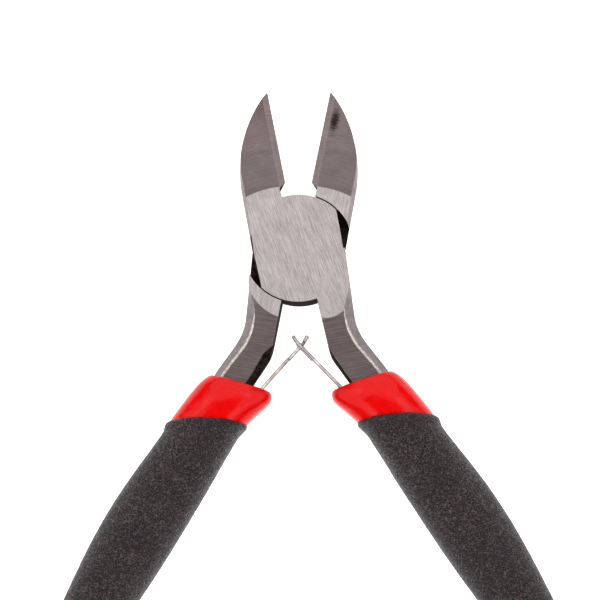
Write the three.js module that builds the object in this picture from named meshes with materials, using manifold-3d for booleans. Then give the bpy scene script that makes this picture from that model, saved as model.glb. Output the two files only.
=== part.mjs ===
// Mini diagonal cutting pliers (side cutters), about 115 mm long when shut.
//
// Two forged levers cross in a lap joint and turn on one flush rivet. The right-hand handle belongs
// to the left jaw and carries the front plate of the joint; the left-hand handle belongs to the right
// jaw and carries the back plate. Two leaf springs, hooked into each other, hold the handles apart.
//
// Millimetres. The origin is on the rivet's axis at the joint's back face; +Y points to the jaw tips,
// +X to the right-hand handle and +Z to the front face. The pliers are drawn at rest, which is open.
import * as THREE from "three";
import { mergeVertices } from "three/addons/utils/BufferGeometryUtils.js";
import Module from "manifold-3d";

const wasm = await Module();
wasm.setup();

// ---- driving dimensions ----
const DEGREE = Math.PI / 180;
const OPENING = 11 * DEGREE; // each lever's turn from shut to rest
const THICKNESS = 6.6; // of the joint
const MIDDLE = THICKNESS / 2;
const PLATE_GAP = 0.1; // between the two lapped plates
const DISC_RADIUS = 9.5; // round part of each joint plate
const SHOULDER_RADIUS = 9.7; // recess in the other lever that the disc turns in
const ARC_STEPS = 16;
const BIG = 120; // how far a cutter reaches past the work

// Head of a lever: the jaw on the -X side and the joint plate, drawn shut.
const EDGE_CLEARANCE = 0.03; // each cutting edge to the middle plane when shut
const JAW_REACH = 28.2; // pivot to tip
const JAW_HEEL = 12; // pivot to the near end of the cutting edge
const JAW_BACK = { x: 15.63, y: 11.4, radius: 23.6 }; // the jaw's outer side is one arc
const TIP_WIDTH = 0.4;
const NOTCH = { x: 1.1, top: 11.05, depth: 1.25 }; // wire notch between heel and disc
const WAIST = { x: 8.1, y: 0.2 };
const CHOP_ANGLE = 216.4 * DEGREE; // where the plate's free side meets the disc
const SHOULDER_ANGLE = 34.3 * DEGREE; // where the disc meets the handle side
const CROTCH_ANGLE = 277.3 * DEGREE; // where the disc meets the tang
const JAW_GRIND = { x: -2.6, y: -4.3, radius: 15.7, slope: 0.12, end: 60 };
const EDGE_DEPTH = 0.7; // cutting edge below the jaw's front face
const FRONT_BEVEL = 1.15;
const BACK_HOLLOW = 2.2;

// Tang of a lever, in the handle's own frame: drawn shut and before the spread.
const HANDLE_SPREAD = 1.1 * DEGREE; // the right handle stands this much further out, the left further in
const TANG_GRIND = { x: 3, y: -8.9, radius: 4.3, slope: 0.09, end: 15 };
const TANG_THICKNESS = THICKNESS - 2 * TANG_GRIND.slope * (TANG_GRIND.end - TANG_GRIND.radius);
const FLANK_DRAFT = 1.35; // the outer side leans out this far from face to middle
const HIP = { x: 8.05, y: -1.58 };
const ELBOW = { x: 6.95, y: -16, above: 2.6, below: 2.9 };
const CROTCH = { x: 1.2, y: -8.6 };
const KINK = { x: 1.5, y: -19.7 }; // the tang's inner side turns outward here

// Grips follow one arc; the distance s runs along it from the mouth of the inner sleeve.
const GRIP_START = { x: 6.1, y: -24.94 };
const GRIP_ANGLE = 63.1 * DEGREE; // below +X
const GRIP_BEND = 330;
const TANG_INNER = { mouth: -2.1, inside: -1.6 }; // lateral place of the tang's two sides
const TANG_OUTER = { mouth: 4.64, mouthAt: 0.86, inside: 4.3, end: 2.6 };
const TANG_INSIDE = 4; // the tang has its narrower width from here on
const TANG_END = 52;
const GRIP_MOUTH = 8; // the outer grip starts here
const GRIP_END = 66;
const SLEEVE_END = 63;
const FIT = 0.08; // between nested pieces
const ROUND_STEPS = 24;
const GRIP_SQUARENESS = 0.85; // 1 is an oval section, less is boxier
const NECK = 0.86; // the sleeve's mouth and its neck under the outer grip, as a share of its size
// [s, half width, half thickness]
const SLEEVE_SIZES = [[0, 5.7, 4.1], [4, 6.05, 4.9], [8, 6.1, 5], [40, 5, 4.3], [63, 3.7, 3.6]];
const GRIP_SIZES = [
  [8, 6.4, 5.5], [11, 6.05, 5.3], [28, 6.55, 5.4], [37, 6.4, 5.2], [55, 5.1, 4.7], [66, 4.6, 4.4],
];
// [s, lean]: a cross-section leans back by this much per unit of lateral distance
const SECTION_LEAN = [[0, 0.38], [8, 0.58], [30, 0], [66, 0]];

// Pivot rivet, ground flush on both faces.
const RIVET = { radius: 2.5, head: 3.3, headDepth: 0.8, clearance: 0.05, steps: 48 };

// Leaf springs, in the handle's frame. Distances along a leaf run from its stud to its tip.
const LEAF_MOUTH = { x: 1.81, y: -24.94 }; // where the leaf leaves the sleeve
const LEAF_ANGLE = 58.2 * DEGREE; // below +X, from tip to root
const LEAF_SET_BACK = 4.5; // stud to mouth
const LEAF = { tail: -1.5, bend: 15.06, tip: 1.2, thickness: 0.6, width: 4.2 };
const LEAF_TIP_BEND = 11 * DEGREE;
const WINDOW = { from: 11, to: 14.85, width: 2.6 }; // in the right-hand leaf
const TONGUE = { from: 11, to: 15.1, width: 2, headWidth: 3.6 }; // on the left-hand leaf
const TANG_FACE = 1.7; // leaf to the tang's inner side at the stud
const STUD = { radius: 0.8, collar: 1.3, head: 0.5, gap: 0.3, bite: 2.5, steps: 20 };
const POCKET = { halfHeight: 2.5, tangSide: 2.6, mouthWall: 0.55, mouthLength: 9 };
const STUD_ROOM = { wall: 1.35, length: 1.9 };

// ---- solids ----
function solid(geometry) {
  const bare = geometry.index ? geometry.toNonIndexed() : geometry.clone();
  bare.deleteAttribute("normal");
  bare.deleteAttribute("uv");
  const merged = mergeVertices(bare, 1e-4);
  const mesh = new wasm.Mesh({
    numProp: 3,
    vertProperties: merged.attributes.position.array,
    triVerts: new Uint32Array(merged.index.array),
  });
  return new wasm.Manifold(mesh);
}

function geometryOf(body) {
  const mesh = body.getMesh();
  const geometry = new THREE.BufferGeometry();
  geometry.setAttribute("position", new THREE.BufferAttribute(mesh.vertProperties, 3));
  geometry.setIndex(new THREE.BufferAttribute(mesh.triVerts, 1));
  const flat = geometry.toNonIndexed();
  flat.computeVertexNormals();
  return flat;
}

function slab(shape, low, high) {
  const options = { depth: high - low, bevelEnabled: false, curveSegments: ARC_STEPS };
  return solid(new THREE.ExtrudeGeometry(shape, options).translate(0, 0, low));
}

function box(low, high) {
  const size = low.map((value, i) => high[i] - value);
  const centre = low.map((value, i) => (high[i] + value) / 2);
  return solid(new THREE.BoxGeometry(...size).translate(...centre));
}

// A body turned about +Z, from [radius, height] pairs that run anticlockwise.
function turned(profile, steps) {
  const points = profile.map(([radius, height]) => new THREE.Vector2(radius, height));
  return solid(new THREE.LatheGeometry(points, steps).rotateX(Math.PI / 2));
}

function cylinder(radius, low, high, steps) {
  return turned([[0, low], [radius, low], [radius, high], [0, high]], steps);
}

// The cut left by grinding one face: flat inside `radius`, then falling away in a cone.
function grindCut(grind, face) {
  const fall = MIDDLE - grind.slope * (grind.end - grind.radius);
  const profile = [[grind.radius, MIDDLE], [grind.end, fall], [BIG, fall], [BIG, BIG], [grind.radius, BIG]];
  profile.push(profile[0]);
  const cut = turned(profile, 96);
  const faced = face === "front" ? cut : cut.mirror([0, 0, 1]);
  return faced.translate([grind.x, grind.y, MIDDLE]);
}

// Cuts off what lies to the left of a slanted plane through the line from p to q. At the height
// `rise` above the line, the plane has moved `inset` to the right.
function slantCut(p, q, inset, rise) {
  const start = new THREE.Vector3(...p);
  const ahead = new THREE.Vector3(...q).sub(start);
  const length = ahead.length();
  ahead.normalize();
  const left = new THREE.Vector3(-ahead.y, ahead.x, 0).normalize();
  const up = new THREE.Vector3().crossVectors(ahead, left);
  const far = 3;
  const section = new THREE.Shape();
  section.moveTo(0, 0);
  section.lineTo(far * Math.abs(rise), 0);
  section.lineTo(far * Math.abs(rise), far * rise);
  section.lineTo(-far * inset, far * rise);
  const overrun = 1.2;
  const options = { depth: length + 2 * overrun, bevelEnabled: false };
  const prism = new THREE.ExtrudeGeometry(section, options).translate(0, 0, -overrun);
  const basis = new THREE.Matrix4().makeBasis(left, up, ahead).setPosition(start);
  return solid(prism.applyMatrix4(basis));
}

// Straight-line interpolation in a list of [s, value, ...] rows.
function valueAt(rows, s, column) {
  const last = rows.length - 1;
  let i = 0;
  while (i < last - 1 && s > rows[i + 1][0]) i += 1;
  const share = THREE.MathUtils.clamp((s - rows[i][0]) / (rows[i + 1][0] - rows[i][0]), 0, 1);
  return THREE.MathUtils.lerp(rows[i][column], rows[i + 1][column], share);
}

// ---- levers ----
function headShape() {
  const shape = new THREE.Shape();
  const tipY = JAW_REACH + 0.35;
  const tipAngle = Math.atan2(tipY - JAW_BACK.y, -TIP_WIDTH - JAW_BACK.x);
  shape.moveTo(-EDGE_CLEARANCE, JAW_HEEL);
  shape.lineTo(-EDGE_CLEARANCE, JAW_REACH);
  shape.absarc(JAW_BACK.x, JAW_BACK.y, JAW_BACK.radius, tipAngle, Math.PI, false);
  shape.lineTo(-WAIST.x, WAIST.y);
  shape.absarc(0, 0, DISC_RADIUS, CHOP_ANGLE, CROTCH_ANGLE, false);
  shape.lineTo(HIP.x - 1, HIP.y - 3);
  shape.lineTo(HIP.x - 0.05, HIP.y);
  shape.absarc(0, 0, DISC_RADIUS, SHOULDER_ANGLE, Math.acos(-NOTCH.x / DISC_RADIUS), false);
  shape.lineTo(-NOTCH.depth, NOTCH.top);
  return shape;
}

// Point of the grip's arc at distance s, moved sideways; positive is the outer side.
function gripPoint(s, lateral) {
  const angle = GRIP_ANGLE + s / GRIP_BEND;
  const x = GRIP_START.x + GRIP_BEND * (Math.sin(angle) - Math.sin(GRIP_ANGLE));
  const y = GRIP_START.y + GRIP_BEND * (Math.cos(angle) - Math.cos(GRIP_ANGLE));
  return new THREE.Vector2(x + lateral * Math.sin(angle), y + lateral * Math.cos(angle));
}

// Inner side of the tang inside the grip going down, then its outer side coming back up.
function tangSides(grow) {
  const halfway = TANG_END / 2;
  const inner = [TANG_INSIDE, halfway, TANG_END + grow].map((s) => gripPoint(s, TANG_INNER.inside - grow));
  const outer = [
    gripPoint(TANG_END + grow, TANG_OUTER.end + grow),
    gripPoint(halfway, (TANG_OUTER.inside + TANG_OUTER.end) / 2 + grow),
    gripPoint(TANG_INSIDE, TANG_OUTER.inside + grow),
  ];
  return [...inner, ...outer];
}

function tangShape() {
  const shape = new THREE.Shape();
  const mouthInner = gripPoint(0, TANG_INNER.mouth);
  const mouthOuter = gripPoint(TANG_OUTER.mouthAt, TANG_OUTER.mouth);
  const upward = new THREE.Vector2(HIP.x - ELBOW.x, HIP.y - ELBOW.y).normalize();
  const downward = new THREE.Vector2(mouthOuter.x - ELBOW.x, mouthOuter.y - ELBOW.y).normalize();
  shape.moveTo(CROTCH.x, CROTCH.y);
  shape.lineTo(KINK.x, KINK.y);
  shape.lineTo(mouthInner.x, mouthInner.y);
  for (const point of tangSides(0)) shape.lineTo(point.x, point.y);
  shape.lineTo(mouthOuter.x, mouthOuter.y);
  shape.lineTo(ELBOW.x + downward.x * ELBOW.below, ELBOW.y + downward.y * ELBOW.below);
  const bendTo = { x: ELBOW.x + upward.x * ELBOW.above, y: ELBOW.y + upward.y * ELBOW.above };
  shape.quadraticCurveTo(ELBOW.x, ELBOW.y, bendTo.x, bendTo.y);
  shape.lineTo(HIP.x, HIP.y);
  shape.lineTo(HIP.x - 3, HIP.y + 1);
  return shape;
}

function tangBlank() {
  const below = box([-BIG, -BIG, -BIG], [BIG, TANG_GRIND.y, BIG]);
  const mouth = gripPoint(TANG_OUTER.mouthAt, TANG_OUTER.mouth);
  const elbow = [ELBOW.x, ELBOW.y, MIDDLE];
  let tang = slab(tangShape(), 0, THICKNESS);
  for (const face of ["front", "back"]) {
    const rise = face === "front" ? MIDDLE : -MIDDLE;
    tang = tang.subtract(grindCut(TANG_GRIND, face).intersect(below));
    tang = tang.subtract(slantCut([HIP.x + FLANK_DRAFT, HIP.y, MIDDLE], elbow, FLANK_DRAFT, rise));
    tang = tang.subtract(slantCut(elbow, [mouth.x, mouth.y, MIDDLE], FLANK_DRAFT, rise));
  }
  return tang;
}

function rivetProfile(grow) {
  const r = RIVET.radius + grow;
  const head = RIVET.head + grow;
  const end = THICKNESS + grow;
  const waist = [[r, RIVET.headDepth], [r, THICKNESS - RIVET.headDepth]];
  return [[0, -grow], [head, -grow], ...waist, [head, end], [0, end]];
}

// A lever in the frame of the right-hand handle, so its jaw is on the left.
function lever(plateAt, spread) {
  const tipZ = THICKNESS - JAW_GRIND.slope * (JAW_REACH - JAW_GRIND.y - JAW_GRIND.radius) - EDGE_DEPTH;
  const heelZ = THICKNESS - JAW_GRIND.slope * (JAW_HEEL - JAW_GRIND.y - JAW_GRIND.radius) - EDGE_DEPTH;
  const above = box([-BIG, 0, -BIG], [BIG, BIG, BIG]);
  const edgeTip = [-EDGE_CLEARANCE, JAW_REACH, tipZ];
  const edgeHeel = [-EDGE_CLEARANCE, JAW_HEEL, heelZ];
  let head = slab(headShape(), 0, THICKNESS);
  for (const face of ["front", "back"]) {
    head = head.subtract(grindCut(JAW_GRIND, face).intersect(above));
  }
  head = head.subtract(slantCut(edgeTip, edgeHeel, FRONT_BEVEL, EDGE_DEPTH));
  head = head.subtract(slantCut(edgeTip, edgeHeel, BACK_HOLLOW, -heelZ));
  const plateLow = plateAt === "front" ? MIDDLE + PLATE_GAP / 2 : -BIG;
  const plateHigh = plateAt === "front" ? BIG : MIDDLE - PLATE_GAP / 2;
  const recessLow = plateAt === "front" ? -1 : plateHigh;
  const recessHigh = plateAt === "front" ? plateLow : THICKNESS + 1;
  const recess = cylinder(SHOULDER_RADIUS, recessLow, recessHigh, 120);
  const tang = tangBlank().rotate([0, 0, spread / DEGREE]);
  const bore = turned(rivetProfile(RIVET.clearance), RIVET.steps);
  const studHole = inLeafFrame(stud(FIT)).rotate([0, 0, spread / DEGREE]);
  return head.add(tang).subtract(recess).subtract(bore).subtract(studHole);
}

// ---- leaf springs and their studs ----
// The leaf's frame: x from the stud to the tip, y away from the tang, z as the part's.
function inLeafFrame(body) {
  const turn = 180 - LEAF_ANGLE / DEGREE;
  const x = LEAF_MOUTH.x + LEAF_SET_BACK * Math.cos(LEAF_ANGLE);
  const y = LEAF_MOUTH.y - LEAF_SET_BACK * Math.sin(LEAF_ANGLE);
  return body.translate([0, 0, MIDDLE]).rotate([0, 0, turn]).translate([x, y, 0]);
}

// A round stud across the leaf: its pin bites into the tang, its collar spaces the leaf off it.
function stud(grow) {
  const { radius, collar, head, gap, bite } = STUD;
  const r = radius + grow;
  const leafSide = LEAF.thickness / 2 + gap;
  const profile = [[0, -TANG_FACE - bite - grow], [r, -TANG_FACE - bite - grow], [r, 0.1 - TANG_FACE]];
  profile.push([collar + grow, 0.1 - TANG_FACE], [collar + grow, -leafSide], [r, -leafSide], [r, leafSide]);
  const top = leafSide + head + grow;
  profile.push([collar + grow, leafSide], [collar + grow, top], [0, top]);
  return turned(profile, STUD.steps).rotate([-90, 0, 0]);
}

// Edge view of the strip: straight, with its last stretch bent towards the jaws.
function leafShape() {
  const half = LEAF.thickness / 2;
  const tipX = LEAF.bend + LEAF.tip * Math.cos(LEAF_TIP_BEND);
  const tipY = -LEAF.tip * Math.sin(LEAF_TIP_BEND);
  const across = { x: half * Math.sin(LEAF_TIP_BEND), y: half * Math.cos(LEAF_TIP_BEND) };
  const shape = new THREE.Shape();
  shape.moveTo(LEAF.tail, -half);
  shape.lineTo(LEAF.bend - across.x, -half);
  shape.lineTo(tipX - across.x, tipY - across.y);
  shape.lineTo(tipX + across.x, tipY + across.y);
  shape.lineTo(LEAF.bend + across.x, half);
  shape.lineTo(LEAF.tail, half);
  return shape;
}

function leafSpring(tip) {
  const half = LEAF.width / 2;
  let leaf = slab(leafShape(), -half, half);
  const hole = cylinder(STUD.radius + 0.2, -1, 1, STUD.steps).rotate([-90, 0, 0]);
  leaf = leaf.subtract(hole);
  if (tip === "window") {
    const open = WINDOW.width / 2;
    return leaf.subtract(box([WINDOW.from, -1, -open], [WINDOW.to, 1, open]));
  }
  for (const side of [-1, 1]) {
    const neck = [TONGUE.width / 2, half + 1].map((z) => side * z).sort((a, b) => a - b);
    const ears = [TONGUE.headWidth / 2, half + 1].map((z) => side * z).sort((a, b) => a - b);
    leaf = leaf.subtract(box([TONGUE.from, -1, neck[0]], [TONGUE.to, 1, neck[1]]));
    leaf = leaf.subtract(box([TONGUE.to - 0.01, -1, ears[0]], [LEAF.bend + 2, 1, ears[1]]));
  }
  return leaf;
}

// ---- grips ----
// Lofts [share of half size, s] pairs along the grip's arc, with the sizes and lean given above.
function gripLoft(profile, sizes, grow) {
  const points = profile.map(([share, s]) => new THREE.Vector2(share, s));
  const geometry = new THREE.LatheGeometry(points, ROUND_STEPS);
  const position = geometry.attributes.position;
  const squared = (value) => Math.sign(value) * Math.abs(value) ** GRIP_SQUARENESS;
  for (let i = 0; i < position.count; i += 1) {
    const s = position.getY(i);
    const share = Math.hypot(position.getX(i), position.getZ(i));
    const turn = Math.atan2(position.getZ(i), position.getX(i));
    const lateral = share * squared(Math.cos(turn)) * (valueAt(sizes, s, 1) + grow);
    const depth = share * squared(Math.sin(turn)) * (valueAt(sizes, s, 2) + grow);
    const place = gripPoint(s + valueAt(SECTION_LEAN, s, 1) * lateral, lateral);
    position.setXYZ(i, place.x, place.y, MIDDLE - depth);
  }
  return solid(geometry);
}

// From the rounded mouth to the closed end. The neck under the outer grip is thinner.
function sleeveProfile(grow) {
  const mouth = [[0, 0], [NECK, 0], [0.94, 0.6], [0.99, 1.5], [1, 2.5], [1, 5], [1, GRIP_MOUTH]];
  const neck = [8.6, 10, 18, 26, 33, 40, 48, 56].map((s) => [NECK, s]);
  const end = [[0.82, 60 + grow], [0.62, 62.2 + grow], [0, SLEEVE_END + grow]];
  return [...mouth, ...neck, ...end];
}

function innerSleeve() {
  const sleeve = gripLoft(sleeveProfile(0), SLEEVE_SIZES, 0);
  const half = TANG_THICKNESS / 2 + FIT;
  const ahead = -TANG_INSIDE; // the cutter starts well in front of the mouth
  const hole = new THREE.Shape([
    gripPoint(ahead, TANG_INNER.mouth - 2 * FIT),
    ...tangSides(FIT),
    gripPoint(TANG_OUTER.mouthAt, TANG_OUTER.mouth + FIT),
    gripPoint(ahead, TANG_OUTER.mouth + FIT),
  ]);
  const { halfHeight, tangSide, mouthWall, mouthLength } = POCKET;
  const { wall, length } = STUD_ROOM;
  const slot = box([-length, -tangSide, -halfHeight], [mouthLength, mouthWall, halfHeight]);
  const room = box([-length, -tangSide, -halfHeight], [length, wall, halfHeight]);
  return sleeve
    .subtract(slab(hole, MIDDLE - half, MIDDLE + half))
    .subtract(inLeafFrame(slot.add(room)));
}

function outerGrip() {
  const mouth = [[0, GRIP_MOUTH], [0.95, GRIP_MOUTH]];
  const body = [8.9, 11, 14, 20, 26, 33, 40, 48, 55, 60].map((s) => [1, s]);
  const end = [[0.95, 63], [0.75, 65.2], [0.4, GRIP_END], [0, GRIP_END]];
  const grip = gripLoft([...mouth, ...body, ...end], GRIP_SIZES, 0);
  return grip.subtract(gripLoft(sleeveProfile(FIT), SLEEVE_SIZES, FIT));
}

// ---- materials ----
function material(colour, roughness, metalness) {
  return new THREE.MeshStandardMaterial({ color: colour, roughness, metalness });
}

const groundSteel = material(0xa29a95, 0.38, 1);
const springSteel = material(0x968a80, 0.3, 1);
const redVinyl = material(0xe01818, 0.3, 0);
const blackVinyl = material(0x38343a, 0.75, 0);

function piece(name, body, finish) {
  const mesh = new THREE.Mesh(geometryOf(body), finish);
  mesh.name = name;
  return mesh;
}

// ---- assembly ----
// One half of the pliers: a lever turned to its rest angle, and what its handle carries.
function half(side) {
  const right = side === "right";
  const spread = right ? HANDLE_SPREAD : -HANDLE_SPREAD;
  const placed = (body) => (right ? body : body.mirror([1, 0, 0]));
  const group = new THREE.Group();
  const handle = new THREE.Group();
  group.rotation.z = right ? OPENING : -OPENING;
  handle.rotation.z = right ? spread : -spread;
  const plate = right ? "front" : "back";
  const leaf = leafSpring(right ? "window" : "tongue");
  group.add(piece(`${plate}_lever`, placed(lever(plate, spread)), groundSteel));
  handle.add(piece(`leaf_spring_${side}`, placed(inLeafFrame(leaf)), springSteel));
  handle.add(piece(`spring_stud_${side}`, placed(inLeafFrame(stud(0))), springSteel));
  handle.add(piece(`inner_sleeve_${side}`, placed(innerSleeve()), redVinyl));
  handle.add(piece(`outer_grip_${side}`, placed(outerGrip()), blackVinyl));
  group.add(handle);
  return group;
}

const pliers = new THREE.Group();
pliers.add(half("right"));
pliers.add(half("left"));
pliers.add(piece("pivot_rivet", turned(rivetProfile(0), RIVET.steps), groundSteel));

export default pliers;
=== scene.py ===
"""Looks of the mini diagonal cutting pliers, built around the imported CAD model.

Shapes are worked out in millimetres in a lever's own frame: shut, with the jaw at -X and the handle
at +X. They are then turned to the rest angle, mirrored for the left-hand lever and scaled to metres.
"""
import math
import bmesh
import bpy
from mathutils import Matrix, Vector, noise
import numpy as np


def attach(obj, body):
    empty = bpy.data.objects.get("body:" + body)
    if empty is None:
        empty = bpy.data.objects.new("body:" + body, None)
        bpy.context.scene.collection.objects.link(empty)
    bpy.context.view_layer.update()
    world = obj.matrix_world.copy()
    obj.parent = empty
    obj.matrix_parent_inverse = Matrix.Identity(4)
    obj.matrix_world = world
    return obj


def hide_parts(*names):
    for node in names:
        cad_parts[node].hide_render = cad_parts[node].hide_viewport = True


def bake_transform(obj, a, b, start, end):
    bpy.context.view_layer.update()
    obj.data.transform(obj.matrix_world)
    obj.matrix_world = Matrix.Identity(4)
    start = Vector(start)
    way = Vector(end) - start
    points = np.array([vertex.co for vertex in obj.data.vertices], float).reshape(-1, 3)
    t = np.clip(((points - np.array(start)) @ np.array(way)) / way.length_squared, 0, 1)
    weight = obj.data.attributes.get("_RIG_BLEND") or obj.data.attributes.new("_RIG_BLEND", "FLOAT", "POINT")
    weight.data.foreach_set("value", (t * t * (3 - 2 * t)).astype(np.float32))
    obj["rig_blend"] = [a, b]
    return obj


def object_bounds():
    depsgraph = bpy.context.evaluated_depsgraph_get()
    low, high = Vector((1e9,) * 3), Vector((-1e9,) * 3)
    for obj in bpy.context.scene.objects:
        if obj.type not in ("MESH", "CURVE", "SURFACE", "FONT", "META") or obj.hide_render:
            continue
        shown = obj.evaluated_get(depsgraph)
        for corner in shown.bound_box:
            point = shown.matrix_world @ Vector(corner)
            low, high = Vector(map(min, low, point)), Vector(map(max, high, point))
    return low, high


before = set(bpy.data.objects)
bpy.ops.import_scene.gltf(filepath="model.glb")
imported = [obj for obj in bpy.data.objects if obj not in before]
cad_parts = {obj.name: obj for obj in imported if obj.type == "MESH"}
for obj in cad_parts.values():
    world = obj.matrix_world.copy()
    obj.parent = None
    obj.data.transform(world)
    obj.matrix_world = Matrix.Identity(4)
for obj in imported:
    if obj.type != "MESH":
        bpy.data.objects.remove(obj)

cad_box = [list(corner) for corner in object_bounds()]

# ---------------------------------------------------------------- dimensions, in millimetres
MM = 0.001
OPENING = math.radians(11)  # each half, at rest
THICKNESS = 6.6
MIDDLE = THICKNESS / 2
PLATE_GAP = 0.1
DISC_RADIUS = 9.5
SHOULDER_RADIUS = 9.7
FAR = 90  # past everything, for cutters

# Jaw and joint plate. A grind is a cone: x, y of its axis, radius where it starts, slope, end radius.
EDGE_CLEARANCE = 0.03
JAW_REACH = 28.7
JAW_HEEL = 12
JAW_BACK = (15.63, 11.4, 23.6)  # x, y and radius of the jaw's outer arc
TIP_WIDTH = 0.1
NOTCH = (1.1, 11.05, 1.25)  # x where it meets the disc, then y and x of its outer corner
WAIST = (8.1, 0.2)
CHOP_ANGLE = math.radians(216.4)
SHOULDER_ANGLE = math.radians(34.3)
CROTCH_ANGLE = math.radians(277.3)
CROTCH = (2.6, -9.2)
JAW_GRIND = (-2.6, -4.3, 15.7, 0.12, 60)
EDGE_DEPTH = 0.7
FRONT_BEVEL = 1.15
BACK_HOLLOW = 2.2

# Tang
HANDLE_SPREAD = math.radians(1.1)
TANG_GRIND = {"front": (3, -8.9, 4.3, 0.09, 15), "back": (-0.3, -3.6, 9.1, 0.09, 19.8)}
GRIND_LEFT = -1  # a tang's grind starts here, clear of the disc
TANG_HALF = 2.337  # half the thickness left inside the sleeve
FLANK = (1.95, 8, 13.6)  # lean of the outer side, and the depths where it starts and is full
RIDGE = (0.62, 12, 16.5, 30)  # width of the strip coloured as a painted highlight, and the depths of its start, full width and end
HIP = (8.05, -1.58)
ELBOW = (6.95, -16, 2.6, 2.9)  # x, y and how far its rounding reaches each way
KINK = (1.5, -19.7)
INNER_CHAMFERS = (0.6, 1.9)  # of the tang's inner side, on the outer and the lapped face
CHAMFER_DEPTH = 2.4
CHAMFER_START = (15, 18.5)  # depths where the chamfers start and are full
TANG_INNER = (-2.1, -1.6)  # at the mouth and inside
TANG_OUTER = (4.64, 4.3, 2.6)  # at the mouth, inside and at the end
TANG_TOP = 0.86  # how far past the mouth its outer side turns in
TANG_END = 52

# Grips. Tables are (distance from the mouth, value, ...), joined by smooth curves.
GRIP_START = (6.1, -24.94)
GRIP_ANGLE = math.radians(63.1)
GRIP_BEND = 330  # radius of the middle line
GRIP_MOUTH = 8
SQUARENESS = 0.8
NECK = 0.86  # inner sleeve's share of its size where the outer grip covers it
LIP = 2.4
SLEEVE_FIT = 0.03
ROLL = 0.45  # outer grip's rolled mouth
BUTT = 5.5
SKIN_PITCH = 0.32
SLEEVE_SIZES = [(0, 5.7, 4.1), (4, 6.05, 4.9), (8, 6.1, 5), (40, 5, 4.3), (63, 3.7, 3.6)]
GRIP_SIZES = [(8, 6.4, 5.5), (11, 6.05, 5.3), (28, 6.55, 5.4), (37, 6.4, 5.2), (55, 5.1, 4.7), (66, 4.6, 4.4)]
SECTION_LEAN = [(0, 0.38), (8, 0.58), (30, 0), (66, 0)]
MOUTH_SAG = [(0, 0), (4, 0.25), (8, 1.0), (12, 0.9), (22, 0), (66, 0)]
INNER_TRIM = [(0, -0.25), (2.4, -0.35), (8, 0.75), (12, 0.5), (22, 0), (66, 0)]

RIVET = (2.5, 3.3, 0.8, 0.02)  # shank and head radius, countersink depth, clearance
RIVET_CHAMFER = 0.01
FINE_EDGE = 0.07
LEAF_EDGE = 0.11

# Leaf springs and their studs

LEAF_MOUTH = (1.81, -24.94)
LEAF_ANGLE = math.radians(58.2)
LEAF_SET_BACK = 4.5
LEAF_TAIL = -1.5
LEAF_BEND = 15.06
LEAF_TIP = 1.2
LEAF_CURVE = 0.5  # on each side of the tip's bend
LEAF_TIP_BEND = math.radians(11)
LEAF_THICKNESS = 0.6
LEAF_WIDTH = 4.2
LEAF_FLEX = 9  # length that bends as the handles close
WINDOW = (11, 14.85, 2.6)  # start, end, width
TONGUE = (11, 15.1, 2, 3.6)  # start, end, width of the neck and of the head
TANG_FACE = 1.7  # from the leaf to the tang
STUD = (0.8, 1.3, 0.5, 0.3, 2.5)  # pin and collar radius, head, gap to the leaf, length in the tang
POCKET = (-1.9, -2.6, 2.25)  # low x and y, and half thickness of the sleeve's pockets round the leaf
SLOT_END = (9, 0.42)
ROOM_END = (1.9, 1.35)

# Places in a lever's material list.
# OXIDE_AND_SHADE is black oxide, darkened further by painted shade.
# RIDGE_HIGHLIGHT colours a chamfered strip as a painted highlight.
BRUSHED, JAW_GROUND, JAW_BEVEL, TANG_GROUND, FORGED, OXIDE_AND_SHADE, RIDGE_HIGHLIGHT = range(7)


# ---------------------------------------------------------------- mesh helpers
def make_object(name, bm, materials=()):
    mesh = bpy.data.meshes.new(name)
    bm.normal_update()
    bm.to_mesh(mesh)
    bm.free()
    for material in materials:
        mesh.materials.append(material)
    obj = bpy.data.objects.new(name, mesh)
    bpy.context.scene.collection.objects.link(obj)
    return obj


def discard(obj):
    mesh = obj.data
    bpy.data.objects.remove(obj)
    bpy.data.meshes.remove(mesh)


def arc(centre, radius, start, end, step=math.radians(2.5)):
    count = max(2, round(abs(end - start) / step))
    angles = [start + (end - start) * i / count for i in range(count + 1)]
    return [(centre[0] + radius * math.cos(a), centre[1] + radius * math.sin(a)) for a in angles]


def rings_to_bmesh(rings, cap_material=0, side_material=None):
    """A closed body from rings of points; side_material(row, column) gives a side face's material."""
    bm = bmesh.new()
    rows = [[bm.verts.new(p) for p in ring] for ring in rings]
    size = len(rings[0])
    for r in range(len(rows) - 1):
        for c in range(size):
            d = (c + 1) % size
            face = bm.faces.new((rows[r][c], rows[r][d], rows[r + 1][d], rows[r + 1][c]))
            face.material_index = side_material(r, c) if side_material else cap_material
    for ring in (list(reversed(rows[0])), rows[-1]):
        bm.faces.new(ring).material_index = cap_material
    return bm


def slab(points, low, high, material, name="cutter", materials=()):
    rings = [[(x, y, z) for x, y in points] for z in (low, high)]
    bm = rings_to_bmesh(rings, material, lambda r, c: material)
    bmesh.ops.recalc_face_normals(bm, faces=bm.faces)
    return make_object(name, bm, materials)


def turned(profile, steps, material, name="cutter", materials=(), ring=False):
    """Turned about +Z from (radius, height) pairs; a profile that touches the axis is capped there."""
    bm = bmesh.new()
    rows = []
    for radius, height in profile:
        if radius < 1e-9:
            rows.append([bm.verts.new((0, 0, height))] * steps)
            continue
        angles = [2 * math.pi * i / steps for i in range(steps)]
        rows.append([bm.verts.new((radius * math.cos(a), radius * math.sin(a), height)) for a in angles])
    pairs = list(zip(rows, rows[1:]))
    if ring:
        pairs.append((rows[-1], rows[0]))
    for lower, upper in pairs:
        for i in range(steps):
            j = (i + 1) % steps
            corners = []
            for v in (lower[i], lower[j], upper[j], upper[i]):
                if v not in corners:
                    corners.append(v)
            if len(corners) > 2:
                bm.faces.new(corners).material_index = material
    bmesh.ops.recalc_face_normals(bm, faces=bm.faces)
    return make_object(name, bm, materials)


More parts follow.
